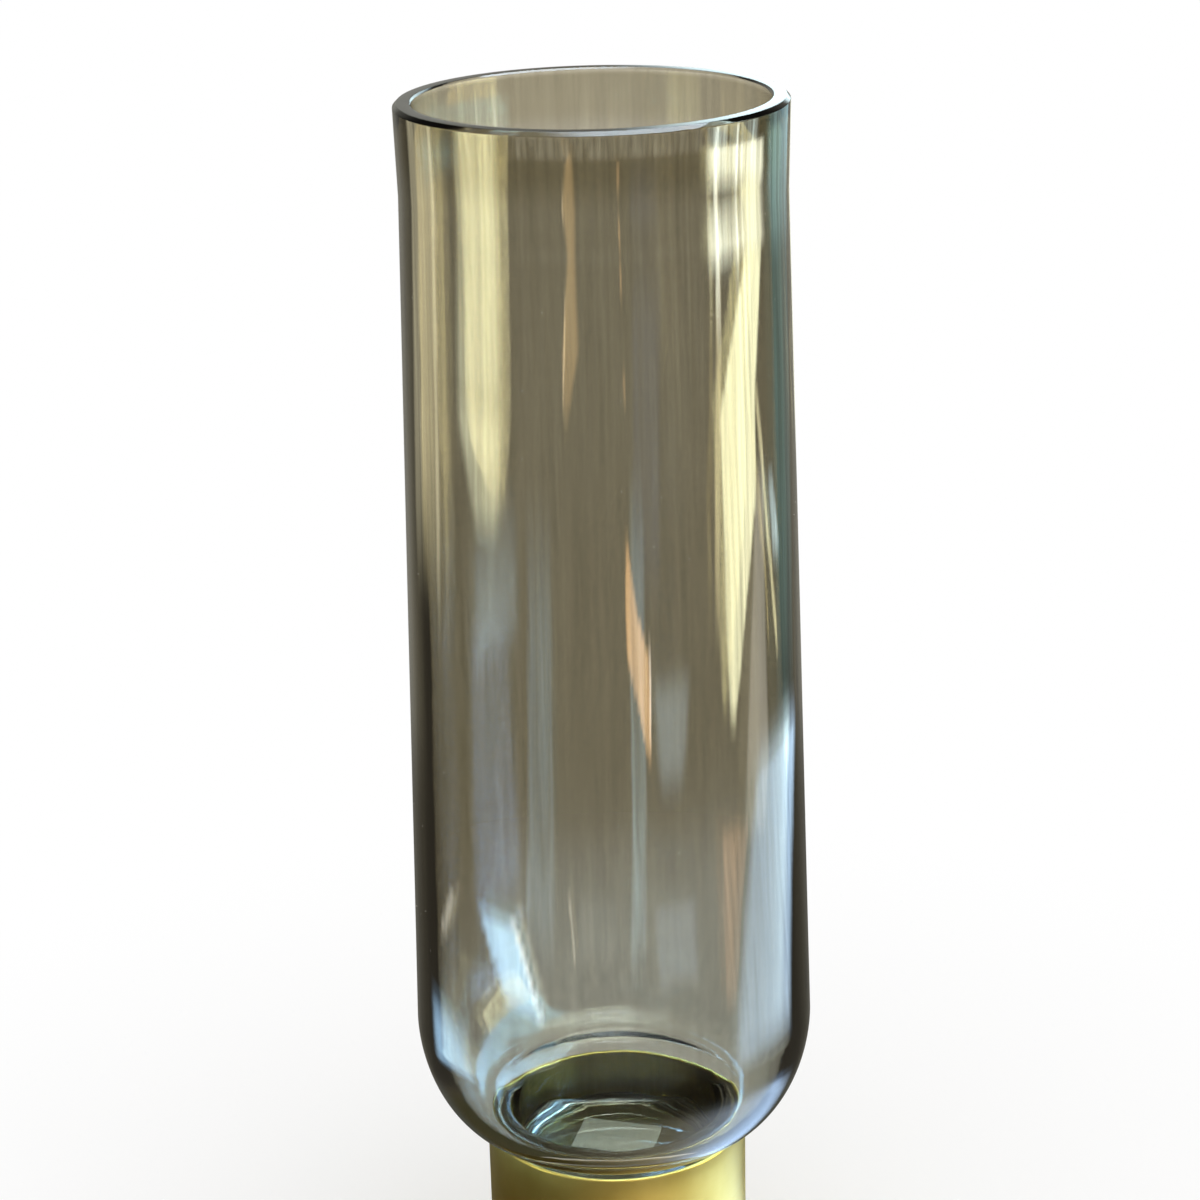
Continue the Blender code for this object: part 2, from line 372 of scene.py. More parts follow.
def brushed_brass():
    """Satin brass with fine turned brush marks and a slightly uneven tone."""
    material, nodes, links, shader = new_material("brushed_brass_look")
    shader.inputs["Metallic"].default_value = 1.0
    shader.inputs["Anisotropic"].default_value = 0.35
    cloud = object_noise(nodes, links, (1.0, 1.0, 0.6), 38.0, 5.0)
    tone = ramp(nodes, links, cloud.outputs["Fac"], 0.32, 0.72,
                (0.53, 0.38, 0.085), (0.70, 0.54, 0.165))
    links.new(tone.outputs["Color"], shader.inputs["Base Color"])
    marks = object_noise(nodes, links, (0.5, 0.5, 26.0), 90.0, 4.0)
    rough = span(nodes, links, marks.outputs["Fac"], 0.30, 0.46)
    links.new(rough.outputs["Result"], shader.inputs["Roughness"])
    bump(nodes, links, marks.outputs["Fac"], shader, 0.10, 0.0002)
    return material


def paper():
    """Pale grey-green blank paper with fibres."""
    material, nodes, links, shader = new_material("label_paper_look")
    fibres = object_noise(nodes, links, (1.0, 2.2, 1.0), 420.0, 6.0, 0.7)
    tone = ramp(nodes, links, fibres.outputs["Fac"], 0.35, 0.65,
                (0.74, 0.86, 0.90), (0.86, 0.97, 1.00))
    links.new(tone.outputs["Color"], shader.inputs["Base Color"])
    shader.inputs["Roughness"].default_value = 0.85
    bump(nodes, links, fibres.outputs["Fac"], shader, 0.15, 0.0001)
    return material


def felt(name, dark, light):
    """Pressed felt with a fibrous surface."""
    material, nodes, links, shader = new_material(name)
    fibres = object_noise(nodes, links, (1.0, 1.0, 1.0), 900.0, 8.0, 0.75)
    tone = ramp(nodes, links, fibres.outputs["Fac"], 0.35, 0.65, dark, light)
    links.new(tone.outputs["Color"], shader.inputs["Base Color"])
    shader.inputs["Roughness"].default_value = 0.95
    shader.inputs["Sheen Weight"].default_value = 0.3
    bump(nodes, links, fibres.outputs["Fac"], shader, 0.6, 0.0004)
    return material


def sheet_steel(name, dark, light, low_rough, high_rough):
    """Plain steel with mill marks and stains."""
    material, nodes, links, shader = new_material(name)
    stains = object_noise(nodes, links, (1.0, 1.0, 1.0), 60.0, 6.0)
    tone = ramp(nodes, links, stains.outputs["Fac"], 0.3, 0.7, dark, light)
    links.new(tone.outputs["Color"], shader.inputs["Base Color"])
    shader.inputs["Metallic"].default_value = 1.0
    marks = object_noise(nodes, links, (1.0, 12.0, 1.0), 200.0, 4.0)
    rough = span(nodes, links, marks.outputs["Fac"], low_rough, high_rough)
    links.new(rough.outputs["Result"], shader.inputs["Roughness"])
    bump(nodes, links, marks.outputs["Fac"], shader, 0.15, 0.0002)
    return material


def dust():
    """Pale matt dust."""
    material, nodes, links, shader = new_material("dust_look")
    grain = object_noise(nodes, links, (1.0, 1.0, 1.0), 900.0, 2.0)
    tone = ramp(nodes, links, grain.outputs["Fac"], 0.3, 0.7,
                (0.62, 0.60, 0.55), (0.85, 0.84, 0.80))
    links.new(tone.outputs["Color"], shader.inputs["Base Color"])
    shader.inputs["Roughness"].default_value = 1.0
    return material


# Pieces

def glass_profile():
    """Inside from the floor up, over the rim, and down the outside."""
    mouth_bore = MOUTH_RADIUS - MOUTH_WALL
    waist_bore = WAIST_RADIUS - MOUTH_WALL
    waist_z = RIM_Z - WAIST_DROP
    inner_bottom_z = SHOULDER_BOTTOM_Z + SHOULDER_WALL
    throat_round = SHOULDER_WALL + THROAT_FILLET
    inner_narrow = STEM_BORE + throat_round
    flat_floor = STEM_BORE - FLOOR_CORNER

    inside = [(0.0, FLOOR_Z)]
    inside += straight((0.0, FLOOR_Z), (flat_floor, FLOOR_Z), 6)
    inside += arc((flat_floor, FLOOR_Z + FLOOR_CORNER), FLOOR_CORNER, -90, 0, 12)
    inside += arc((inner_narrow, inner_bottom_z - throat_round), throat_round, 180, 90, 12)
    inner_shoulder = shoulder_curve(SHOULDER_INNER_RADIUS, inner_narrow, SHOULDER_TOP_Z,
                                    inner_bottom_z, 30)
    inside += list(reversed(inner_shoulder))[1:]
    inside += straight((SHOULDER_INNER_RADIUS, SHOULDER_TOP_Z), (waist_bore, waist_z), 36)
    inside.append((waist_bore, waist_z))
    inside += straight((waist_bore, waist_z), (mouth_bore, RIM_Z - 2.0 * OUTER_FACET), 4)

    rim = eased((mouth_bore, waist_z), (mouth_bore, RIM_Z - INNER_FACET),
                (mouth_bore + INNER_FACET, RIM_Z))
    rim += eased((mouth_bore, RIM_Z - INNER_FACET), (mouth_bore + INNER_FACET, RIM_Z),
                 (MOUTH_RADIUS - OUTER_FACET, RIM_Z))
    rim += eased((mouth_bore + INNER_FACET, RIM_Z), (MOUTH_RADIUS - OUTER_FACET, RIM_Z),
                 (MOUTH_RADIUS, RIM_Z - OUTER_FACET))
    rim += eased((MOUTH_RADIUS - OUTER_FACET, RIM_Z), (MOUTH_RADIUS, RIM_Z - OUTER_FACET),
                 (MOUTH_RADIUS, waist_z))

    outside = straight((MOUTH_RADIUS, RIM_Z - 2.0 * OUTER_FACET), (WAIST_RADIUS, waist_z), 4)
    outside.append((WAIST_RADIUS, waist_z))
    outside += straight((WAIST_RADIUS, waist_z), (BODY_RADIUS, SHOULDER_TOP_Z), 36)
    outside += shoulder_curve(BODY_RADIUS, STEM_RADIUS + THROAT_FILLET, SHOULDER_TOP_Z,
                              SHOULDER_BOTTOM_Z, 26)
    outside += arc((STEM_RADIUS + THROAT_FILLET, SHOULDER_BOTTOM_Z - THROAT_FILLET),
                   THROAT_FILLET, 90, 180, 8)[1:]
    outside += arc((STEM_RADIUS - HEEL_ROUND, STEM_BOTTOM_Z + HEEL_ROUND), HEEL_ROUND,
                   0, -90, 6)
    outside.append((LABEL_RECESS_RADIUS, STEM_BOTTOM_Z))
    outside += arc((LABEL_RECESS_RADIUS - LABEL_RECESS_DEPTH,
                    STEM_BOTTOM_Z), LABEL_RECESS_DEPTH, 0, 90, 4)[1:]
    outside.append((0.0, STEM_BOTTOM_Z + LABEL_RECESS_DEPTH))
    return inside, rim, outside


INNER_WAVE = 0.00014
OUTER_WAVE = 0.00006
WAVE_FADE = 0.03
WAVES_ROUND = 2.2
WAVES_UP = 9.0


def make_glass():
    """Blown glass body with its shoulder, stem and floor."""
    inside, rim, outside = glass_profile()
    last_inside = len(inside)
    first_outside = last_inside + len(rim)

    def blown_wave(angle, number, radius, height):
        """Shallow upright waves of hand-finished glass, dying out at rim and stem."""
        if last_inside <= number < first_outside:
            return 0.0
        size = INNER_WAVE if number < last_inside else OUTER_WAVE
        from_rim = min(max((RIM_Z - height) / WAVE_FADE, 0.0), 1.0)
        stem_top_z = SHOULDER_BOTTOM_Z + SHOULDER_WALL
        from_stem = min(max((height - stem_top_z) / WAVE_FADE, 0.0), 1.0)
        place = Vector((WAVES_ROUND * math.cos(angle), WAVES_ROUND * math.sin(angle),
                        WAVES_UP * height))
        return size * from_rim * from_stem * noise.noise(place)

    mesh = turned_mesh("glass_body", inside + rim + outside, False, blown_wave)
    return add_piece("glass_body", mesh, smoked_glass(), "glass", "smoked_glass",
                     "glass_vessel")


def make_sleeve():
    """Brass tube with a rounded lip and foot."""
    bore = SLEEVE_RADIUS - SLEEVE_WALL
    soft = SLEEVE_LIP_ROUND
    profile = arc((SLEEVE_RADIUS - soft, LIP_Z - soft), soft, 90, 0, 6)
    profile += straight((SLEEVE_RADIUS, LIP_Z - soft), (SLEEVE_RADIUS, SLEEVE_BOTTOM_Z + soft), 12)
    profile += arc((SLEEVE_RADIUS - soft, SLEEVE_BOTTOM_Z + soft), soft, 0, -90, 6)
    profile += arc((bore + soft, SLEEVE_BOTTOM_Z + soft), soft, -90, -180, 6)
    profile += straight((bore, SLEEVE_BOTTOM_Z + soft), (bore, LIP_Z - soft), 12)
    profile += arc((bore + soft, LIP_Z - soft), soft, 180, 90, 6)
    mesh = turned_mesh("brass_tube", profile, True)
    return add_piece("brass_tube", mesh, brushed_brass(), "base", "brushed_brass",
                     "brass_sleeve")


FELT_EDGE_SOFTNESS = 0.3
FIBRE_DEPTH = 0.00012
FIBRES_ROUND = 60.0
FIBRES_UP = 900.0


def make_felt_disc(name, low, high, slot, node, material):
    """Felt disc with a softly pressed edge and an uneven surface."""
    radius = high.x
    thickness = high.z - low.z
    soft = thickness * FELT_EDGE_SOFTNESS
    profile = [(0.0, high.z)]
    profile += straight((0.0, high.z), (radius - soft, high.z), 24)
    profile += arc((radius - soft, high.z - soft), soft, 90, 0, 5)
    profile += arc((radius - soft, low.z + soft), soft, 0, -90, 5)
    profile += straight((radius - soft, low.z), (0.0, low.z), 24)
    profile.append((0.0, low.z))

    def fibre_edge(angle, number, ring_radius, height):
        """Ragged cut edge, never wider than the solid."""
        if ring_radius < radius - 2.0 * soft:
            return 0.0
        place = Vector((FIBRES_ROUND * math.cos(angle), FIBRES_ROUND * math.sin(angle),
                        FIBRES_UP * height))
        return -FIBRE_DEPTH * (0.5 + 0.5 * noise.noise(place))

    mesh = turned_mesh(name, profile, False, fibre_edge)
    return add_piece(name, mesh, material, "base", slot, node)


def make_liner():
    """Felt band with softened edges."""
    outer = LINER_HIGH.x
    inner = outer - LINER_THICKNESS
    soft = LINER_THICKNESS * FELT_EDGE_SOFTNESS
    profile = arc((outer - soft, LINER_HIGH.z - soft), soft, 90, 0, 4)
    profile += straight((outer, LINER_HIGH.z - soft), (outer, LINER_LOW.z + soft), 6)
    profile += arc((outer - soft, LINER_LOW.z + soft), soft, 0, -90, 4)
    profile += arc((inner + soft, LINER_LOW.z + soft), soft, -90, -180, 4)
    profile += straight((inner, LINER_LOW.z + soft), (inner, LINER_HIGH.z - soft), 6)
    profile += arc((inner + soft, LINER_HIGH.z - soft), soft, 180, 90, 4)
    mesh = turned_mesh("liner_felt_band", profile, True)
    look = felt("liner_felt_look", (0.05, 0.045, 0.035), (0.10, 0.09, 0.07))
    return add_piece("liner_felt_band", mesh, look, "base", "liner_felt", "liner_band")


SPECK_COUNT = 150
SPECK_SMALL = 0.00007
SPECK_LARGE = 0.00016


def make_dust():
    """Loose specks of dust that cling to the outside of the glass."""
    source = random.Random(SEED)
    vertices = []
    faces = []
    waist_z = RIM_Z - WAIST_DROP
    for number in range(SPECK_COUNT):
        angle = source.uniform(0.0, math.tau)
        height = source.uniform(SHOULDER_TOP_Z, waist_z)
        size = source.uniform(SPECK_SMALL, SPECK_LARGE)
        share = (waist_z - height) / (waist_z - SHOULDER_TOP_Z)
        radius = WAIST_RADIUS + (BODY_RADIUS - WAIST_RADIUS) * share + OUTER_WAVE
        out = Vector((math.cos(angle), math.sin(angle), 0.0))
        side = Vector((-out.y, out.x, 0.0))
        up = Vector((0.0, 0.0, 1.0))
        centre = out * (radius + size * 0.5) + up * height
        first = len(vertices)
        tips = (out, -out, side, -side, up, -up)
        for tip in tips:
            vertices.append(centre + tip * size * source.uniform(0.6, 1.0))
        for a, b, c in ((0, 2, 4), (2, 1, 4), (1, 3, 4), (3, 0, 4),
                        (2, 0, 5), (1, 2, 5), (3, 1, 5), (0, 3, 5)):
            faces.append((first + a, first + b, first + c))
    mesh = bpy.data.meshes.new("glass_dust")
    mesh.from_pydata([tuple(vertex) for vertex in vertices], [], faces)
    mesh.validate()
    return add_piece("glass_dust", mesh, dust(), "glass", "label_paper")


def dress_solids():
    """Finishes for the solids that stay as they are."""
    looks = {
        "blank_label": paper(),
        "seat_cup": sheet_steel("seat_steel_look", (0.36, 0.35, 0.33), (0.50, 0.49, 0.46),
                                0.32, 0.5),
        "weight_plate": sheet_steel("weight_steel_look", (0.16, 0.16, 0.16),
                                    (0.27, 0.265, 0.26), 0.4, 0.6),
    }
    for node, look in looks.items():
        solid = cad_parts[node]
        solid.data.materials.clear()
        solid.data.materials.append(look)


# Camera, floor and lights

def make_camera():
    data = bpy.data.cameras.new("camera")
    data.sensor_width = SENSOR_WIDTH
    data.lens = FOCAL_PIXELS / PICTURE_SIDE * SENSOR_WIDTH
    camera = bpy.data.objects.new("camera", data)
    bpy.context.scene.collection.objects.link(camera)
    aim = Matrix.Rotation(CAMERA_YAW, 4, "Z")
    tilt = Matrix.Rotation(math.pi / 2 - CAMERA_PITCH, 4, "X")
    roll = Matrix.Rotation(CAMERA_ROLL, 4, "Z")
    place = Matrix.Translation((CAMERA_SIDE, -CAMERA_DISTANCE, RIM_Z + CAMERA_ABOVE_RIM))
    camera.matrix_world = place @ aim @ tilt @ roll
    bpy.context.scene.camera = camera


def sees_backdrop(nodes, links):
    """1 for camera, glossy and transmission rays, so glass and metal show the white too."""
    path = nodes.new("ShaderNodeLightPath")
    seen = calculate(nodes, links, "MAXIMUM", path.outputs["Is Camera Ray"],
                     path.outputs["Is Glossy Ray"])
    return calculate(nodes, links, "MAXIMUM", seen, path.outputs["Is Transmission Ray"])


WORLD_AMBIENT = 0.45


def make_world():
    """White backdrop that lights the object only softly."""
    world = bpy.data.worlds.new("studio")
    world.use_nodes = True
    bpy.context.scene.world = world
    nodes = world.node_tree.nodes
    links = world.node_tree.links
    background = nodes["Background"]
    background.inputs["Color"].default_value = (1.0, 1.0, 1.0, 1.0)
    level = nodes.new("ShaderNodeMapRange")
    level.inputs["To Min"].default_value = WORLD_AMBIENT
    level.inputs["To Max"].default_value = 1.0
    links.new(sees_backdrop(nodes, links), level.inputs["Value"])
    links.new(level.outputs["Result"], background.inputs["Strength"])


# Metres from the object's middle over which the floor turns into the backdrop
FLOOR_RADIUS = 6.0
FLOOR_FADE_START = -0.20
FLOOR_FADE_END = 0.42


def make_floor():
    """Pale floor that runs out into the white backdrop."""
    bpy.ops.mesh.primitive_circle_add(vertices=96, radius=FLOOR_RADIUS, fill_type="NGON")
    floor = bpy.context.object
    floor.name = "floor"
    material, nodes, links, shader = new_material("floor_look")
    shader.inputs["Base Color"].default_value = (0.92, 0.92, 0.915, 1.0)
    shader.inputs["Roughness"].default_value = 0.9
    shader.inputs["Specular IOR Level"].default_value = 0.1
    place = nodes.new("ShaderNodeTexCoord")
    length = nodes.new("ShaderNodeVectorMath")
    length.operation = "LENGTH"
    links.new(place.outputs["Object"], length.inputs[0])
    fade = smooth_fade(nodes, links, length.outputs["Value"], FLOOR_FADE_START, FLOOR_FADE_END)
    both = calculate(nodes, links, "MULTIPLY", fade, sees_backdrop(nodes, links))
    white = nodes.new("ShaderNodeEmission")
    white.inputs["Strength"].default_value = 1.0
    mix = nodes.new("ShaderNodeMixShader")
    links.new(both, mix.inputs["Fac"])
    links.new(shader.outputs["BSDF"], mix.inputs[1])
    links.new(white.outputs["Emission"], mix.inputs[2])
    links.new(mix.outputs["Shader"], nodes["Material Output"].inputs["Surface"])
    floor.data.materials.append(material)


LAMP_SIDE = 1.0
LAMP_PLACE = (0.20, -0.25, 1.60)
LAMP_TARGET = (0.0, 0.0, 0.22)
LAMP_COLOUR = (1.0, 0.99, 0.97)
LAMP_RADIANCE = 5.0


def make_lamp():
    """Flat soft lamp over the object."""
    data = bpy.data.lights.new("top_lamp", "AREA")
    data.shape = "SQUARE"
    data.size = LAMP_SIDE
    data.color = LAMP_COLOUR
    data.energy = LAMP_RADIANCE * math.pi * LAMP_SIDE * LAMP_SIDE
    lamp = bpy.data.objects.new("top_lamp", data)
    bpy.context.scene.collection.objects.link(lamp)
    lamp.location = LAMP_PLACE
    direction = Vector(LAMP_TARGET) - Vector(LAMP_PLACE)
    lamp.rotation_mode = "QUATERNION"
    lamp.rotation_quaternion = direction.to_track_quat("-Z", "Y")


# Shell that only reflections see. It stands in for the room round the photographed vase.
# Turns are degrees from the viewer's side, to the right. A height below zero lies on the
# shell's floor, that far in from its wall.
SHELL_RADIUS = 0.60
SHELL_HEIGHT = 1.20
SHELL_FLOOR_INNER = 0.050
SHELL_LIFT = 0.002
SHELL_TURNS = 720
SHELL_FLOOR_STEPS = 40
SHELL_WALL_STEPS = 150
SHELL_TOP_STEPS = 16

# Dim walls, a little paler behind the object
SHELL_DARK = (0.055, 0.050, 0.042)
SHELL_BACK = (0.30, 0.29, 0.25)
SHELL_BACK_TURNS = (128.0, 152.0)
SHELL_BACK_HEIGHTS = (-0.15, 0.05)
SHELL_BACK_LOW_SHARE = 0.4

# Floor close round the base, which the brass mirrors
NEAR_FLOOR_REACH = (0.42, 0.455)
FLOOR_DARK = (0.085, 0.055, 0.020)
FLOOR_BEHIND = (0.10, 0.10, 0.09)
FLOOR_BEHIND_TURNS = (100.0, 128.0)
FLOOR_WARM = (1.85, 1.67, 1.18)
FLOOR_WARM_TURNS = (10.0, 150.0)
FLOOR_COLD = (0.10, 1.05, 2.75)
FLOOR_COLD_TURNS = (5.0, 75.0)
FLOOR_BRIGHT_TURN = 98.0

# Top, bright at the right
CEILING_LIGHT = (7.0, 8.6, 10.5)
CEILING_SPAN = (-0.30, 0.05)

# Light as it is before it crosses the tinted glass, and the ray depths of that crossing
THROUGH_GAIN = 3.5
THROUGH_FLOOR = (0.085, 0.090, 0.055)
ONE_WALL_DEPTH = 2.0
BOTH_WALLS_DEPTH = 4.0

# Unevenness of the panels: how it changes per degree and per metre
COARSE_STREAKS = (0.42, 8.0)
FINE_STREAKS = (1.1, 14.0)
FINE_STREAKS_SHARE = 0.6
STREAK_CONTRAST = 0.62

SUN = (12.0, 11.8, 7.4)
WINDOW = (54.0, 55.0, 45.0)
PALE_WALL = (4.8, 4.9, 3.3)
WOOD = (2.9, 1.9, 0.8)
LIT_WOOD = (8.5, 5.0, 2.2)
WOOD_CHIP = (5.0, 3.0, 1.3)

# A panel's low and high edge are each (height, left turn, right turn). Its outline is
# softened by edge (degrees, metres), and streaky from 0 to 1 is how uneven it is.
Panel = namedtuple("Panel", ("low", "high", "edge", "light", "streaky"))

# Seen in the outside of the glass, and in the brass
DIRECT_PANELS = (
    # Sun on the window frame
    Panel((0.205, 70.0, 98.5), (0.280, 93.0, 108.0), (1.2, 0.012), SUN, 0.35),
    Panel((0.150, 70.5, 97.0), (0.205, 70.0, 98.5), (1.2, 0.012), SUN, 0.35),
    Panel((0.040, 72.0, 75.5), (0.150, 70.5, 97.0), (1.2, 0.012), SUN, 0.35),
    Panel((0.000, 82.0, 101.0), (0.160, 98.0, 104.0), (1.5, 0.020), (2.2, 2.1, 1.8), 0.25),
    Panel((-0.080, 80.0, 96.0), (0.000, 82.0, 101.0), (1.5, 0.020), (1.5, 1.4, 1.1), 0.25),
    Panel((0.060, 112.0, 114.0), (0.205, 98.5, 100.5), (0.7, 0.012), (5.0, 4.6, 2.6), 0.40),
    Panel((0.112, 111.0, 118.0), (0.152, 109.0, 113.0), (1.2, 0.012), (3.0, 4.0, 4.2), 0.30),
    Panel((0.150, 162.0, 166.0), (0.360, 162.0, 166.0), (1.2, 0.030), (1.2, 1.2, 0.9), 0.10),
    Panel((0.100, 63.5, 66.5), (0.300, 70.5, 73.5), (0.7, 0.030), (4.5, 3.8, 2.0), 0.40),
    # Sky behind branches, high at the right
    Panel((0.282, 66.0, 110.0), (0.308, 66.0, 110.0), (3.0, 0.008), (10.0, 10.0, 7.5), 0.50),
    Panel((0.285, 66.0, 79.0), (0.400, 66.0, 79.0), (2.5, 0.018), (5.0, 5.8, 5.2), 0.95),
    Panel((0.285, 79.0, 105.0), (0.400, 79.0, 105.0), (2.5, 0.018), (2.0, 2.4, 2.2), 0.95),
    Panel((0.255, 69.5, 71.5), (0.360, 70.5, 73.0), (0.7, 0.030), (9.0, 10.0, 9.0), 0.50),
    Panel((0.275, 85.0, 87.0), (0.360, 87.0, 89.0), (0.9, 0.025), (6.0, 6.6, 6.4), 0.50),
    Panel((0.290, 99.0, 100.5), (0.360, 100.0, 102.0), (0.8, 0.020), (2.6, 3.4, 3.4), 0.50),
    # Faint streaks high in front
    Panel((0.305, -44.0, 64.0), (0.400, -44.0, 64.0), (6.0, 0.016), (1.60, 1.52, 1.20), 0.80),
    Panel((0.180, -44.0, 64.0), (0.305, -44.0, 64.0), (6.0, 0.050), (0.22, 0.21, 0.16), 1.00),
    # Blue shade at the right
    Panel((0.020, 112.0, 134.0), (0.300, 119.0, 148.0), (3.0, 0.060), (0.16, 0.28, 0.29), 0.40),
    Panel((0.280, 118.0, 150.0), (0.380, 118.0, 150.0), (3.0, 0.030), (0.50, 0.85, 0.95), 0.60),
    # Sky that the flat rim mirrors
    Panel((0.430, 152.0, 175.0), (0.750, 152.0, 175.0), (5.0, 0.040), (2.40, 3.10, 3.30), 0.10),
    Panel((0.430, -175.0, -152.0), (0.750, -175.0, -152.0), (5.0, 0.040), (0.20, 0.21, 0.20), 0.30),
    # Bright wall beyond the left shoulder
    Panel((0.130, -132.0, -103.0), (0.400, -126.0, -99.0), (2.0, 0.060), (1.6, 1.45, 0.95), 0.35),
    Panel((0.100, -108.0, -105.0), (0.400, -103.0, -99.5), (1.0, 0.060), (1.8, 1.65, 1.1), 0.40),
    Panel((0.205, -84.0, -56.0), (0.400, -79.0, -53.5), (3.5, 0.030), PALE_WALL, 0.35),
    Panel((0.150, -74.0, -60.0), (0.205, -84.0, -56.0), (3.0, 0.015), PALE_WALL, 0.35),
    Panel((0.180, -66.5, -62.5), (0.400, -63.0, -58.5), (1.2, 0.030), (2.2, 2.2, 1.2), 0.30),
    # Floor lit from the right and in front
    Panel((-0.315, 66.0, 111.0), (0.000, 92.0, 136.0), (4.0, 0.025), (2.4, 3.4, 4.5), 0.15),
    Panel((-0.240, -66.0, 70.0), (-0.040, -60.0, 80.0), (18.0, 0.090), (1.0, 1.15, 1.25), 0.10),
    Panel((-0.205, 25.0, 46.0), (-0.120, 23.5, 46.0), (2.0, 0.012), (1.1, 1.4, 1.7), 0.10),
    Panel((-0.168, -18.4, 2.0), (-0.100, -17.0, 2.0), (2.5, 0.012), (0.45, 0.50, 0.48), 0.10),
    Panel((-0.172, -20.6, -19.4), (-0.098, -23.4, -22.2), (0.6, 0.010), (5.0, 4.7, 3.5), 0.10),
    # Window light lying on the floor at the front left
    Panel((-0.235, -58.0, -38.0), (-0.155, -76.0, -54.0), (2.5, 0.014), (5.5, 9.5, 13.0), 0.15),
    Panel((-0.235, -40.0, -36.5), (-0.150, -56.0, -52.5), (0.9, 0.014), (9.0, 9.0, 8.0), 0.10),
    Panel((-0.360, -112.0, -78.0), (-0.300, -118.0, -88.0), (5.0, 0.020), (1.9, 3.1, 4.3), 0.10),
    Panel((-0.215, -109.0, -104.0), (-0.160, -100.0, -95.0), (2.0, 0.012), (2.4, 2.3, 1.9), 0.60),
    # Upright bars and their gaps
    Panel((-0.170, 9.5, 17.0), (0.160, 15.5, 22.5), (1.0, 0.040), (1.2, 1.8, 2.1), 0.60),
    Panel((-0.160, -46.0, -31.0), (0.140, -42.0, -28.0), (1.2, 0.050), (0.7, 1.1, 1.4), 0.60),
    Panel((0.018, 28.0, 42.0), (0.072, 26.0, 46.0), (2.0, 0.014), (1.9, 2.4, 2.7), 0.15),
    Panel((0.130, 17.0, 30.0), (0.280, 20.0, 34.0), (1.5, 0.030), (0.05, 0.15, 0.42), 0.30),
    # Warm wood
    Panel((-0.245, 62.0, 68.0), (-0.060, 64.0, 82.0), (1.5, 0.020), (2.4, 1.45, 0.80), 0.55),
    Panel((0.250, -19.0, -10.5), (0.325, -12.9, -12.0), (0.9, 0.012), WOOD, 0.25),
    Panel((0.215, -18.8, -17.2), (0.250, -19.0, -10.5), (0.9, 0.012), WOOD, 0.25),
    Panel((0.225, -19.4, -18.6), (0.275, -17.6, -16.9), (0.4, 0.012), (9.0, 7.0, 4.2), 0.30),
    Panel((0.277, 13.6, 14.4), (0.293, 13.6, 14.4), (0.4, 0.008), WOOD_CHIP, 0.10),
    Panel((0.225, 13.6, 14.4), (0.236, 13.6, 14.4), (0.4, 0.008), WOOD_CHIP, 0.10),
    Panel((0.117, 12.6, 17.4), (0.150, 13.6, 14.2), (0.6, 0.010), LIT_WOOD, 0.25),
    Panel((0.090, 12.8, 23.0), (0.117, 12.6, 17.4), (0.6, 0.010), LIT_WOOD, 0.25),
    Panel((0.036, 21.5, 23.5), (0.090, 12.8, 23.0), (0.6, 0.010), LIT_WOOD, 0.25),
    Panel((0.045, 22.8, 23.6), (0.092, 23.4, 24.2), (0.4, 0.012), (16.0, 13.5, 10.5), 0.20),
)

# Seen in the far wall of the glass, through the near wall that tints and dims them
THROUGH_PANELS = (
    # Window
    Panel((0.060, 72.0, 88.0), (0.110, 68.0, 106.0), (1.5, 0.030), WINDOW, 0.40),
    Panel((0.110, 68.0, 106.0), (0.300, 64.0, 112.0), (1.5, 0.030), WINDOW, 0.40),
    # Sky above and shade below it
    Panel((0.320, 58.0, 112.0), (1.250, 58.0, 150.0), (4.0, 0.030), (24.0, 48.0, 86.0), 0.10),
    Panel((-0.100, 66.0, 106.0), (0.030, 66.0, 104.0), (4.0, 0.040), (9.0, 14.0, 25.0), 0.20),
    Panel((-0.400, 76.0, 118.0), (-0.050, 74.0, 112.0), (5.0, 0.050), (4.0, 7.0, 16.0), 0.30),
    Panel((0.310, 112.0, 172.0), (0.700, 112.0, 172.0), (4.0, 0.050), (12.0, 25.0, 48.0), 0.10),
    # Pale strip at the left edge
    Panel((0.060, 128.0, 152.0), (0.360, 128.0, 152.0), (3.0, 0.060), (5.0, 5.0, 4.0), 0.40),
)


def soft_step(value, low, high):
    """0 to 1, rising softly from one limit to another."""
    share = min(max((value - low) / (high - low), 0.0), 1.0)
    return share * share * (3.0 - 2.0 * share)


def soft_window(value, low, high, edge):
    """1 between two limits, falling softly to 0 at each."""
    risen = soft_step(value, low - edge, low + edge)
    fallen = soft_step(value, high - edge, high + edge)
    return risen * (1.0 - fallen)


def streak(turn, height):
    """Uneven light in upright streaks, from 0 to 1."""
    per_turn, per_height = COARSE_STREAKS
    value = noise.noise(Vector((turn * per_turn, height * per_height, SEED)))
    per_turn, per_height = FINE_STREAKS
    fine = noise.noise(Vector((turn * per_turn, height * per_height, SEED + 5)))
    value += FINE_STREAKS_SHARE * fine
    return min(max(0.5 + STREAK_CONTRAST * value, 0.0), 1.0)


def panel_share(panel, turn, height):
    """How much of a panel's light shows at one place of the shell."""
    low_height, low_left, low_right = panel.low
    high_height, high_left, high_right = panel.high
    turn_edge, height_edge = panel.edge
    if not low_height - height_edge < height < high_height + height_edge:
        return 0.0
    rise = min(max((height - low_height) / (high_height - low_height), 0.0), 1.0)
    left = low_left + (high_left - low_left) * rise
    right = low_right + (high_right - low_right) * rise
    if not left - turn_edge < turn < right + turn_edge:
        return 0.0
    share = soft_window(turn, left, right, turn_edge)
    share *= soft_window(height, low_height, high_height, height_edge)
    return share * (1.0 - panel.streaky + 2.0 * panel.streaky * streak(turn, height))


def near_share(height):
    """How much a place of the shell belongs to the floor close round the base."""
    return soft_step(-height, *NEAR_FLOOR_REACH)


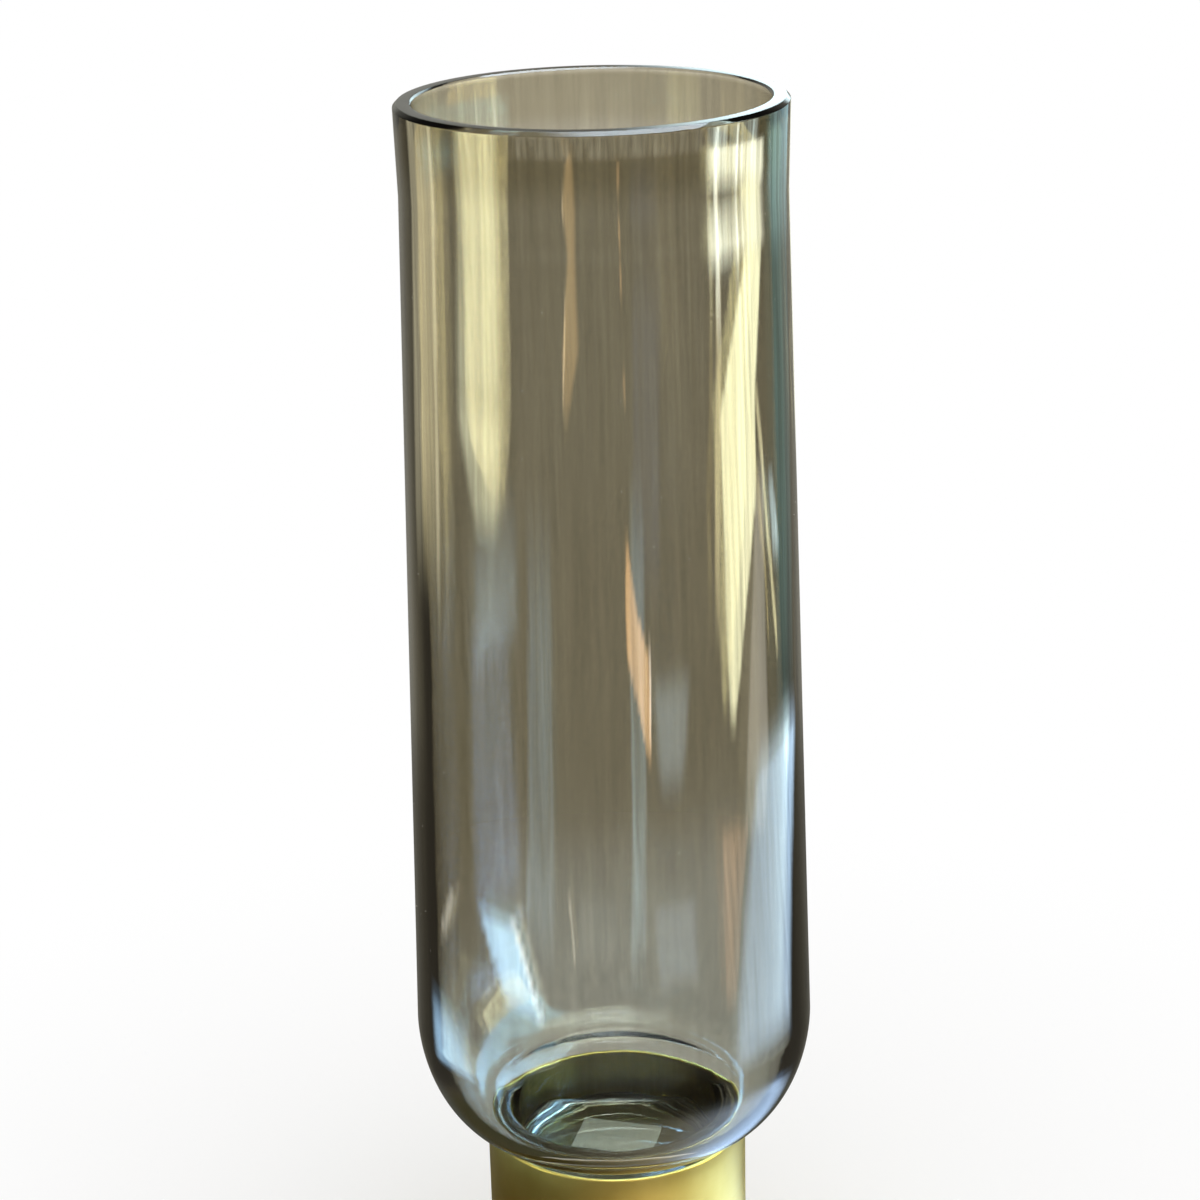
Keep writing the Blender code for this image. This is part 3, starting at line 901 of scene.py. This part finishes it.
def near_floor(turn):
    """Floor close round the base, bright at the right and dark at the left and behind."""
    away = abs((turn - FLOOR_BRIGHT_TURN + 180.0) % 360.0 - 180.0)
    light = Vector(FLOOR_WARM).lerp(Vector(FLOOR_DARK), soft_step(away, *FLOOR_WARM_TURNS))
    light += Vector(FLOOR_COLD) * (1.0 - soft_step(away, *FLOOR_COLD_TURNS))
    return light.lerp(Vector(FLOOR_BEHIND), soft_step(abs(turn), *FLOOR_BEHIND_TURNS))


def shell_light(through, turn, height):
    """Brightness of the shell's wall or floor, seen directly or through the glass."""
    raised = soft_step(height, *SHELL_BACK_HEIGHTS)
    behind = soft_step(abs(turn), *SHELL_BACK_TURNS)
    behind *= SHELL_BACK_LOW_SHARE + (1.0 - SHELL_BACK_LOW_SHARE) * raised
    light = Vector(SHELL_DARK).lerp(Vector(SHELL_BACK), behind)
    if through:
        light = (light * THROUGH_GAIN).lerp(Vector(THROUGH_FLOOR), near_share(height))
    else:
        light = light.lerp(near_floor(turn), near_share(height))
    for panel in THROUGH_PANELS if through else DIRECT_PANELS:
        light += Vector(panel.light) * panel_share(panel, turn, height)
    return light


def ceiling_light(through, x):
    """Brightness of the shell's top, which is bright to the right."""
    light = Vector(SHELL_DARK).lerp(Vector(CEILING_LIGHT), soft_step(x, *CEILING_SPAN))
    return light * THROUGH_GAIN if through else light


def shell_material():
    """Glow that appears only to rays that have met a shiny surface.

    Rays that have crossed the tinted glass see their own set of panels, and the floor
    close round the base is dull to every ray that has entered the glass.
    """
    material = bpy.data.materials.new("shell_look")
    material.use_nodes = True
    material.cycles.emission_sampling = "NONE"
    nodes = material.node_tree.nodes
    links = material.node_tree.links
    nodes.remove(nodes["Principled BSDF"])
    layers = {}
    for layer in ("direct", "through"):
        layers[layer] = nodes.new("ShaderNodeVertexColor")
        layers[layer].layer_name = layer
    path = nodes.new("ShaderNodeLightPath")
    crossings = path.outputs["Transmission Depth"]
    crossed = nodes.new("ShaderNodeMapRange")
    crossed.inputs["From Min"].default_value = ONE_WALL_DEPTH
    crossed.inputs["From Max"].default_value = BOTH_WALLS_DEPTH
    links.new(crossings, crossed.inputs["Value"])
    entered = calculate(nodes, links, "GREATER_THAN", crossings, 0.5)
    below = calculate(nodes, links, "MULTIPLY", entered, layers["direct"].outputs["Alpha"])
    share = calculate(nodes, links, "MAXIMUM", crossed.outputs["Result"], below)
    light = nodes.new("ShaderNodeMix")
    light.data_type = "RGBA"
    links.new(share, light.inputs["Factor"])
    links.new(layers["direct"].outputs["Color"], light.inputs["A"])
    links.new(layers["through"].outputs["Color"], light.inputs["B"])
    glow = nodes.new("ShaderNodeEmission")
    links.new(light.outputs["Result"], glow.inputs["Color"])
    reflected = calculate(nodes, links, "GREATER_THAN", path.outputs["Glossy Depth"], 0.5)
    nothing = nodes.new("ShaderNodeBsdfTransparent")
    mix = nodes.new("ShaderNodeMixShader")
    links.new(reflected, mix.inputs["Fac"])
    links.new(nothing.outputs["BSDF"], mix.inputs[1])
    links.new(glow.outputs["Emission"], mix.inputs[2])
    links.new(mix.outputs["Shader"], nodes["Material Output"].inputs["Surface"])
    return material


def shell_rings():
    """Rings of the shell, out over its floor, up its wall and in over its top.

    Each is a radius, a height and the height that panels go by, which the top has none of.
    """
    rings = []
    for step in range(SHELL_FLOOR_STEPS):
        width = SHELL_RADIUS - SHELL_FLOOR_INNER
        radius = SHELL_FLOOR_INNER + width * step / SHELL_FLOOR_STEPS
        rings.append((radius, SHELL_LIFT, radius - SHELL_RADIUS))
    for step in range(SHELL_WALL_STEPS + 1):
        height = SHELL_LIFT + (SHELL_HEIGHT - SHELL_LIFT) * step / SHELL_WALL_STEPS
        rings.append((SHELL_RADIUS, height, height))
    for step in range(1, SHELL_TOP_STEPS):
        rings.append((SHELL_RADIUS * (1.0 - step / SHELL_TOP_STEPS), SHELL_HEIGHT, None))
    return rings


def make_shell():
    """Floor ring, wall and top, with a colour layer for each set of panels.

    The layers' alpha marks the floor close round the base.
    """
    rings = shell_rings()
    vertices = []
    colours = {"direct": [], "through": []}
    for radius, height, panel_height in rings:
        for step in range(SHELL_TURNS):
            turn = -180.0 + 360.0 * step / SHELL_TURNS
            x = radius * math.sin(math.radians(turn))
            y = -radius * math.cos(math.radians(turn))
            vertices.append((x, y, height))
            for name, layer in colours.items():
                through = name == "through"
                if panel_height is None:
                    layer.append((*ceiling_light(through, x), 0.0))
                else:
                    light = shell_light(through, turn, panel_height)
                    layer.append((*light, near_share(panel_height)))
    faces = []
    for number in range(len(rings) - 1):
        low = number * SHELL_TURNS
        high = low + SHELL_TURNS
        for step in range(SHELL_TURNS):
            beside = (step + 1) % SHELL_TURNS
            faces.append((low + step, low + beside, high + beside, high + step))
    mesh = bpy.data.meshes.new("reflection_shell")
    mesh.from_pydata(vertices, [], faces)
    for name, values in colours.items():
        layer = mesh.color_attributes.new(name, "FLOAT_COLOR", "POINT")
        for index, colour in enumerate(values):
            layer.data[index].color = colour
    mesh.materials.append(shell_material())
    shell = bpy.data.objects.new("reflection_shell", mesh)
    bpy.context.scene.collection.objects.link(shell)
    shell.visible_camera = False
    shell.visible_diffuse = False
    shell.visible_shadow = False


bpy.context.scene.view_settings.view_transform = "Standard"
make_camera()
make_world()
make_floor()
make_shell()
make_lamp()

make_glass()
make_sleeve()
make_felt_disc("foot_felt_disc", FOOT_LOW, FOOT_HIGH, "foot_felt", "foot_felt",
               felt("foot_felt_look", (0.02, 0.02, 0.02), (0.07, 0.07, 0.068)))
make_felt_disc("seat_felt_disc", PAD_LOW, PAD_HIGH, "dark_felt", "seat_pad",
               felt("seat_felt_look", (0.045, 0.048, 0.022), (0.10, 0.105, 0.055)))
make_liner()
make_dust()
dress_solids()
